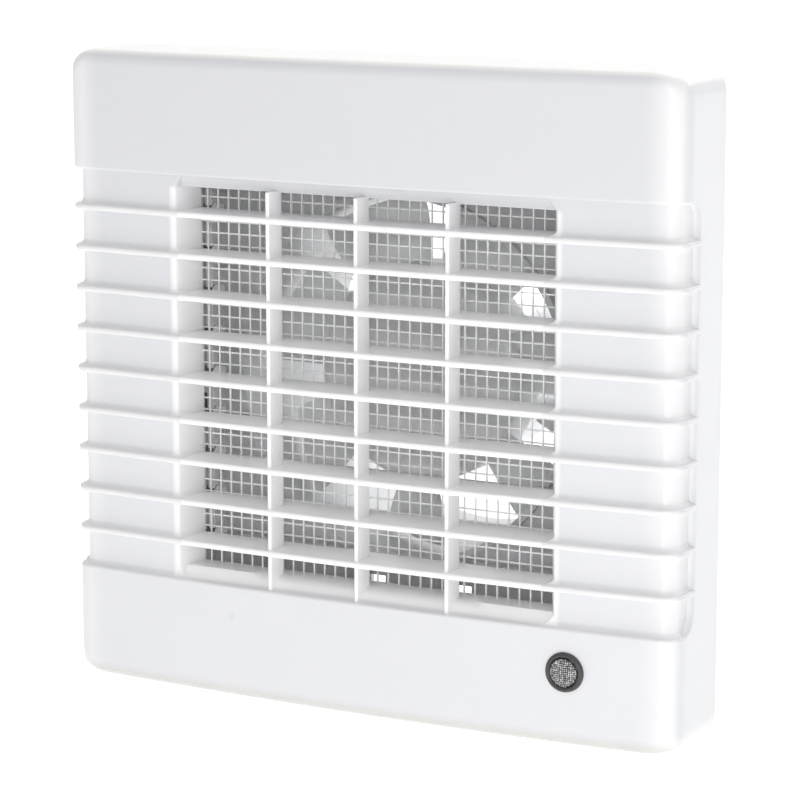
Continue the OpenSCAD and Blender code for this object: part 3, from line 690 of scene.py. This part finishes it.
def cover_half():
    """Points and faces of the right half of the cover."""
    verts, faces = [], []

    def add(points):
        """Keep the points and give their numbers."""
        first = len(verts)
        verts.extend(points)
        return list(range(first, first + len(points)))

    def strip(a, b, flip=False):
        """Faces between two rows of points."""
        for i in range(len(a) - 1):
            ring = (a[i], a[i + 1], b[i + 1], b[i])
            faces.append(tuple(reversed(ring)) if flip else ring)

    previous = None
    rows = cover_levels()
    for level in rows:
        jamb, line = outer_row(level)
        jamb_in, line_in = inner_row(level, jamb, line)
        ids = {"line": add(line), "line_in": add(line_in)}
        if level.kind != "band":
            ids["jamb"] = add(jamb) + [ids["line"][0]]
            ids["jamb_in"] = add(jamb_in) + [ids["line_in"][0]]
        if level.kind != "row":
            centre, centre_in = centre_rows(level, jamb)
            ids["centre"], ids["centre_in"] = add(centre), add(centre_in)
        if previous:
            for key in ("line", "jamb", "centre"):
                if key == "centre" and (level.kind, before) in (("row", "end"), ("end", "row")):
                    continue
                if key in ids and key in previous:
                    strip(previous[key], ids[key])
                    strip(previous[key + "_in"], ids[key + "_in"], True)
            strip([previous["line"][-1], previous["line_in"][-1]],
                  [ids["line"][-1], ids["line_in"][-1]])
            if "jamb" in ids and "jamb" in previous and "row" in (level.kind, before):
                strip([previous["jamb_in"][0], previous["jamb"][0]],
                      [ids["jamb_in"][0], ids["jamb"][0]])
        if level.kind == "end":
            strip(ids["centre"], ids["centre_in"])
        previous, before = ids, level.kind
        if level is rows[0] or level is rows[-1]:
            for part, z in (("", level.z), ("_in", math.copysign(HALF_H - WALL, level.z))):
                loop = ids["centre" + part][:-1] + ids["line" + part]
                loop += add([(0, BACK_Y, z)])
                faces.append(tuple(loop))
                ids["back" + part] = loop[-2:]
            strip(ids["back"], ids["back_in"])
    return verts, faces


def cut_holes(obj, cutters):
    """Subtract round holes, then drop the cutters."""
    made = []
    for verts, faces in cutters:
        cutter = build_object("cutter", verts, faces, None, None, material=obj.data.materials[0])
        made.append(cutter)
        boolean = obj.modifiers.new("hole", "BOOLEAN")
        boolean.operation = "DIFFERENCE"
        boolean.solver = "EXACT"
        boolean.object = cutter
    bpy.context.view_layer.update()
    graph = bpy.context.evaluated_depsgraph_get()
    mesh = bpy.data.meshes.new_from_object(obj.evaluated_get(graph))
    obj.modifiers.clear()
    obj.data = mesh
    for cutter in made:
        bpy.data.objects.remove(cutter)
    shade(mesh, SHARP)


def front_cover():
    """The cover with its lamp hole and, underneath, the hole and seat of its screw."""
    verts, faces = mirrored(*cover_half())
    cover = build_object("cover_shell", verts, faces, "casing", "cover_plastic")
    seat, foot = -APEX + RECESS, -HALF_H
    lamp_hole = capped_lathe([(LAMP_R + 0.05, -30), (LAMP_R + 0.05, seat), (LAMP_R - 0.5, seat),
                              (LAMP_R - 0.5, -20)], (LAMP_X, LAMP_Z))
    sink = turned_up([(SCREW_HEAD_R, foot - 1), (SCREW_HEAD_R, foot + 1)], (0, SCREW_Y))
    screw = turned_up([(SCREW_HOLE_R, foot - 1), (SCREW_HOLE_R, foot + 6)], (0, SCREW_Y))
    cut_holes(cover, [lamp_hole, sink, screw])
    keep_flats(cover)
    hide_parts("front_cover")


# ---------- grille ----------


def slat(k):
    """One slat between the jambs, with the fins' rounded front edge."""
    top, low = fin_z(k) + FIN_T, fin_z(k)
    back, soft = MESH_Y - 0.02, 0.15
    verts, steps = [], 40
    for i in range(steps + 1):
        x = blend_value(-1, 1, i / steps) * OPEN_HW
        y = bow_y(x, 0)
        ring = [(back, low + soft), (back - soft, low)]
        ring += [(y + CHIN_R * (1 - s), low + CHIN_R * (1 - c)) for s, c in arc(4, 0, 90)]
        ring += [(y + NOSE_R * (1 - s), top - NOSE_R * (1 - c)) for s, c in arc(5, 90, 0)]
        ring += [(back - soft, top), (back, top - soft)]
        verts += [(x, py, pz) for py, pz in ring]
    n = len(verts) // (steps + 1)
    return verts, grid_faces(steps + 1, n, closed=True) + end_faces(n, steps)


def rib(x0):
    """An upright rib with rounded edges, cut to the lower lip's slope at its foot."""
    half, soft = RIB_T / 2, 0.3
    front = bow_y(x0, RIB_BACK)
    back = front + RIB_D
    plan = []
    for sx, sy, a0 in ((1, -1, -90), (1, 1, 0), (-1, 1, 90), (-1, -1, 180)):
        cy = (front + soft) if sy < 0 else (back - soft)
        for s, c in arc(3, a0, a0 + 90):
            plan.append((x0 + sx * (half - soft) + soft * c, cy + soft * s))
    verts = [(x, y, OPEN_TOP + 0.3) for x, y in plan]
    for x, y in plan:
        fore = (BEVEL_Y - y) / (BEVEL_Y + APEX - RECESS)
        foot = blend_value(OPEN_BOTTOM, BAND_BOTTOM, min(1, max(0, fore))) - 0.2
        verts.append((x, y, foot))
    n = len(plan)
    return verts, grid_faces(2, n, closed=True) + end_faces(n, 1)


def louvre_grille():
    """Slats and ribs, in a white painted lighter than the cover's, for the light inside the
    opening.
    """
    for name, parts in (("grille_slats", [slat(k) for k in range(1, ROWS)]),
                        ("grille_ribs", [rib(i * RIB_X) for i in (-1, 0, 1)])):
        piece = build_object(name, *merged(parts), "casing", "cover_plastic",
                             material=GRILLE_WHITE_PAINTED_LIGHTER)
        keep_flats(piece)
        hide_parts("louvre_grille")


front_cover()
louvre_grille()


# ---------- impeller ----------

HUB_EDGE, HUB_WALL = 2.4, 1.7
# at the root and the tip of a blade: pitch in degrees, chord in mm
ROOT_PITCH, TIP_PITCH, ROOT_CHORD, TIP_CHORD = 36, 27, 20.4, 29.5
BLADE_T, CAMBER, TIP_TRIM = 1.5, 1.1, 0.10


def hub():
    """A cup with a rounded rim, a shallow dish in its face and a sleeve for the shaft."""
    y, back = HUB_FRONT, HUB_FRONT + HUB_L
    profile = [(0.0, y + 0.5), (3.2, y + 0.5), (3.8, y + 0.42), (9.0, y + 0.12), (18.0, y + 0.02)]
    profile += [(HUB_R - HUB_EDGE + HUB_EDGE * s, y + HUB_EDGE * (1 - c)) for s, c in arc(8, 0, 90)]
    profile += [(HUB_R, back - 0.4), (HUB_R - 0.4, back), (HUB_R - 1.4, back),
                (HUB_R - HUB_WALL, back - 0.4), (HUB_R - HUB_WALL, y + 3.2), (HUB_R - 3.2, y + 1.8),
                (4.7, y + 1.8), (4.7, y + 12), (2.5, y + 12), (2.5, y + 3), (0.0, y + 3)]
    return lathe(profile, (0, 0), 128)


def blade(turn):
    """A twisted, cambered blade wrapped round the axis, a little shorter at its tip."""
    spans, chords = 10, 14
    mid = HUB_FRONT + HUB_L / 2
    verts = []
    for i in range(spans + 1):
        t = i / spans
        r = blend_value(HUB_R - 0.3, TIP_R - 0.1, t)
        pitch = math.radians(blend_value(ROOT_PITCH, TIP_PITCH, t))
        chord = blend_value(ROOT_CHORD, TIP_CHORD, t) * (1 - TIP_TRIM * t ** 7)
        for side in (1, -1):
            for j in range(chords + 1):
                s = (j / chords - 0.5) * side
                swell = math.sqrt(max(0.0, 1 - (2 * s) ** 2)) ** 0.8
                lift = CAMBER * (1 - (2 * s) ** 2) + side * 0.5 * BLADE_T * swell * (1 - 0.25 * t)
                along = s * chord * math.cos(pitch) + lift * math.sin(pitch)
                y = mid - s * chord * math.sin(pitch) + lift * math.cos(pitch) - 0.6
                a = math.radians(turn) + along / r
                verts.append((r * math.cos(a), y, r * math.sin(a)))
    n = 2 * (chords + 1)
    faces = grid_faces(spans + 1, n, closed=True)
    for base in (0, spans * n):
        for j in range(chords):
            faces.append((base + j, base + j + 1, base + n - 2 - j, base + n - 1 - j))
    return verts, faces


def impeller():
    """The hub and the seven blades on it."""
    turns = [-(BLADE_TURN + i * 360 / BLADES) for i in range(BLADES)]
    cup = build_object("impeller_hub", *hub(), "fan", "impeller_plastic", sharp=32)
    ring = build_object("impeller_blade_set", *merged(blade(t) for t in turns), "fan",
                        "impeller_plastic", sharp=50)
    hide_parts("impeller")
    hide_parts("impeller_blades")


impeller()

# ---------- dark ears on the flaps' drive pins ----------

EAR_R, EAR_LEFT, EAR_RIGHT = 1.3, -53.95, -50.85


def flap_ears():
    """The dark ear that each flap's drive pin passes through, beside the link bar."""
    grey = moulded("grey ear plastic", (0.15, 0.15, 0.155), (0.19, 0.19, 0.195), 0.35)
    profile = [(0.0, EAR_LEFT), (EAR_R - 0.2, EAR_LEFT), (EAR_R, EAR_LEFT + 0.2),
               (EAR_R, EAR_RIGHT - 0.15), (EAR_R - 0.2, EAR_RIGHT), (0.0, EAR_RIGHT)]
    y = PIVOT_Y + PIN_DY
    for i in range(ROWS):
        z = fin_z(i) - PIVOT_DROP + PIN_DZ
        verts, faces = lathe(profile, (0, 0), 32)
        verts = [(along, y + a, z + b) for a, along, b in verts]
        ear = build_object("flap_ear_%d" % (i + 1), verts, faces, "flap_%d" % (i + 1),
                           "dark_plastic", material=grey)
        keep_flats(ear)


flap_ears()

# ---------- lamp ----------

LENS_R = LAMP_R - 1.4
DOME_R = 8.4                # radius of the lens's domed front
LIP_R = 0.65
LAMP_SEAT = -APEX + RECESS


def lamp_ring():
    """Bezel with a rounded lip and a sloped inner wall."""
    y, back = LAMP_SEAT, -APEX + 8.4
    profile = [(LAMP_R - 0.05, y - 0.02), (LAMP_R, y - 0.3), (LAMP_R, y - 0.75)]
    profile += [(LAMP_R - LIP_R * (1 - c), y - 0.75 - LIP_R * s) for s, c in arc(6, 0, 90)]
    profile += [(LAMP_R - 0.95, y - 1.36), (LAMP_R - 1.15, y - 1.15), (LAMP_R - 1.38, y - 0.6),
                (LENS_R, back), (LAMP_R - 0.6, back), (LAMP_R - 0.6, y - 0.02)]
    return lathe(profile + profile[:1], (LAMP_X, LAMP_Z), 96)


def dome_y(x, z):
    """Front of the lens, x and z being measured from its middle."""
    rise = math.sqrt(DOME_R ** 2 - x * x - z * z) - math.sqrt(DOME_R ** 2 - LENS_R ** 2)
    return LAMP_SEAT - 1.25 - rise


def lamp_facets():
    """Domed lens: a disc of small pyramids in rows, closed behind."""
    cell = LENS_CELL
    count = int(2 * LENS_R / cell) + 2
    verts, faces = [], []
    for i in range(-count, count):
        for j in range(-count, count):
            cx, cz = (i + 0.5) * cell, (j + 0.5) * cell
            if math.hypot(cx, cz) > LENS_R - 0.05:
                continue
            n = len(verts)
            for dx, dz in ((-0.5, -0.5), (0.5, -0.5), (0.5, 0.5), (-0.5, 0.5)):
                x, z = cx + dx * cell, cz + dz * cell
                r = math.hypot(x, z)
                if r > LENS_R:
                    x, z = x * LENS_R / r, z * LENS_R / r
                verts.append((LAMP_X + x, dome_y(x, z), LAMP_Z + z))
            verts.append((LAMP_X + cx, dome_y(cx, cz) - 0.17, LAMP_Z + cz))
            faces += [(n + side, n + (side + 1) % 4, n + 4) for side in range(4)]
    walls = lathe([(LENS_R, LAMP_SEAT - 1.2), (LENS_R, -APEX + 4.1), (0, -APEX + 4.1)],
                  (LAMP_X, LAMP_Z), 64)
    return merged([(verts, faces), walls])


def lamp():
    """The bezel ring and the lens in it."""
    ring = build_object("lamp_ring", *lamp_ring(), "casing", "dark_plastic", sharp=40)
    lens = build_object("lamp_facets", *lamp_facets(), "casing", "lamp_smoke", sharp=12)
    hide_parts("lamp_bezel")
    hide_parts("lamp_lens")


lamp()

# ---------- return spring ----------


def tube(points, r, sides):
    """A round bar along points, with frames carried from point to point."""
    verts = []
    previous = None
    for i, p in enumerate(points):
        a = Vector(points[max(i - 1, 0)])
        b = Vector(points[min(i + 1, len(points) - 1)])
        t = (b - a).normalized()
        u = (previous - t * previous.dot(t)) if previous else t.orthogonal()
        u.normalize()
        previous = u
        v = t.cross(u)
        for s in range(sides):
            w = 2 * math.pi * s / sides
            verts.append(tuple(Vector(p) + r * (math.cos(w) * u + math.sin(w) * v)))
    n = len(points)
    return verts, grid_faces(n, sides, closed=True) + end_faces(sides, n - 1)


def return_spring():
    """The actuator's coil, which shortens as the plunger goes in; it is built here at one length,
    filling its CAD part's box.
    """
    lowest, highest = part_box("return_spring")
    x, y = ((lowest[i] + highest[i]) / 2 / MM for i in (0, 1))
    low, high = lowest[2] / MM, highest[2] / MM
    wire, r, turns, steps = 0.3, 1.78, 19, 20
    count = turns * steps
    path = []
    for i in range(count + 1):
        a = 2 * math.pi * i / steps
        z = blend_value(low + wire, high - wire, i / count)
        path.append((x + r * math.cos(a), y + r * math.sin(a), z))
    coil = build_object("spring_coil", *tube(path, wire, 8), "casing", "steel", sharp=60)
    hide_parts("return_spring")
    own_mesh(coil)


return_spring()

# ---------- soft edges on the carried-over nodes ----------

EDGE_WIDTHS = {
    "rear_casing": 0.3, "base_rim": 0.3, "base_posts": 0.25, "duct_spigot": 0.35,
    "motor_bracket": 0.3, "shutter_frame": 0.25, "link_bar": 0.15, "actuator_body": 0.4,
    "actuator_plunger": 0.2, "actuator_clip": 0.3, "motor_front_cap": 0.6,
    "motor_rear_cap": 0.6, "stator_core": 0.15, "terminal_block": 0.35, "control_board": 0.1,
    "board_parts": 0.4, "cable_grommet": 0.5, "cord_clamp": 0.4, "motor_shaft": 0.2,
    "screen_frame": 0.15,
}
EDGE_WIDTHS.update({"flap_%d" % i: 0.15 for i in range(1, ROWS + 1)})
EDGE_WIDTHS.update({n: 0.12 for n in (
    "motor_screws", "shutter_screws", "terminal_screws", "board_screws", "clamp_screws",
    "clip_screw", "cover_screw")})


def soften_nodes():
    """Round the edges of the CAD nodes a little, each by its own width in mm."""
    for name, width in EDGE_WIDTHS.items():
        bevel = nodes[name].modifiers.new("soft edges", "BEVEL")
        bevel.width = width * MM
        bevel.segments = 2
        bevel.limit_method = "ANGLE"
        bevel.angle_limit = math.radians(50)
        bevel.harden_normals = False
        bevel.use_clamp_overlap = True


soften_nodes()


# ---------- light, floor and camera ----------

WORLD_FRONT, WORLD_REAR = 0.40, 1.05
WORLD_BLEND = (0.1, 0.8)    # view direction's y where the world begins to brighten, and is full
FLOOR_GAP, FLOOR_HALF, FLOOR_GLOW = 0.08, 5, 0.38
LENS_MM, SENSOR_MM = 140.8, 36
CAMERA_AZIMUTH, CAMERA_ELEVATION, CAMERA_DISTANCE = 28.23, 10.55, 0.777
CAMERA_TARGET = (11.4, -25.0, -0.73)   # mm

# name, place and aim (m), width and height (m), power (W)
AREA_LIGHTS = (
    ("key", (0.65, -1.21, 0.256), (0, 0, 0), (0.25, 0.25), 3.3),
    ("high", (0.3, -0.9, 0.95), (0, 0, 0), (0.6, 0.6), 2.3),
    ("edge", (0.98, -0.53, -0.05), (0, 0, 0), (0.1, 0.6), 0.38),
    ("low", (0.2, -0.42, -0.12), (0, 0, -0.06), (0.12, 0.12), 0.12),
    ("top", (0.1, 0.1, 1.2), (0, 0, 0), (0.8, 0.8), 2.4),
    ("back", (0.2, 1.7, 1.2), (0, 1.9, -0.2), (1.6, 1.6), 16),
    ("far", (0.6, 4.4, 2.4), (0.6, 4.5, -0.2), (3.0, 3.0), 60),
)


def staged(name, data):
    """An object for the data, linked into the scene."""
    obj = bpy.data.objects.new(name, data)
    bpy.context.scene.collection.objects.link(obj)
    return obj


def area_light(name, place, aim, size, power):
    """A rectangular light at a place, turned towards its aim."""
    light = bpy.data.lights.new(name, "AREA")
    light.shape = "RECTANGLE"
    light.size, light.size_y = size
    light.energy = power
    obj = staged(name, light)
    obj.location = place
    obj.rotation_euler = (Vector(aim) - Vector(place)).to_track_quat("-Z", "Y").to_euler()


def world_light():
    """A white studio all round, dimmer in front of the unit than behind it."""
    world = bpy.data.worlds.new("studio")
    bpy.context.scene.world = world
    world.use_nodes = True
    tree = world.node_tree
    split = tree.nodes.new("ShaderNodeSeparateXYZ")
    spread = tree.nodes.new("ShaderNodeMapRange")
    for key, value in (("From Min", WORLD_BLEND[0]), ("From Max", WORLD_BLEND[1]),
                       ("To Min", WORLD_FRONT), ("To Max", WORLD_REAR)):
        spread.inputs[key].default_value = value
    back = tree.nodes["Background"]
    back.inputs["Color"].default_value = (1, 1, 1, 1)
    tree.links.new(tree.nodes.new("ShaderNodeTexCoord").outputs["Generated"], split.inputs[0])
    tree.links.new(split.outputs["Y"], spread.inputs["Value"])
    tree.links.new(spread.outputs["Result"], back.inputs["Strength"])


def studio_floor():
    """A pale floor a little below the unit, which hangs on a wall that isn't shown.

    It glows slightly, so that the background stays white where the lights don't reach.
    """
    mesh = bpy.data.meshes.new("floor")
    z0, half = CAD_BOX[0].z - FLOOR_GAP, FLOOR_HALF
    mesh.from_pydata([(-half, -half, z0), (half, -half, z0), (half, half, z0), (-half, half, z0)],
                     [], [(0, 1, 2, 3)])
    obj = staged("floor", mesh)
    pale = Shader("pale floor", 0.7, Emission_Color=(1, 1, 1, 1), Emission_Strength=FLOOR_GLOW)
    pale.colour(pale.ramp(pale.noise(3), (0.93, 0.93, 0.93), (0.95, 0.95, 0.95)))
    obj.data.materials.append(pale.material)


def place_camera():
    """The photo's view, as an angle round the unit and a distance from its front."""
    data = bpy.data.cameras.new("camera")
    data.lens, data.sensor_width = LENS_MM, SENSOR_MM
    data.clip_start, data.clip_end = 0.05, 20
    cam = staged("camera", data)
    bpy.context.scene.camera = cam
    az, el = math.radians(CAMERA_AZIMUTH), math.radians(CAMERA_ELEVATION)
    back = Vector((math.sin(az) * math.cos(el), -math.cos(az) * math.cos(el), math.sin(el)))
    cam.location = Vector(CAMERA_TARGET) * MM + back * CAMERA_DISTANCE
    cam.rotation_euler = (-back).to_track_quat("-Z", "Y").to_euler()


world_light()
studio_floor()
for row in AREA_LIGHTS:
    area_light(*row)
place_camera()
bpy.context.scene.view_settings.view_transform = "Standard"
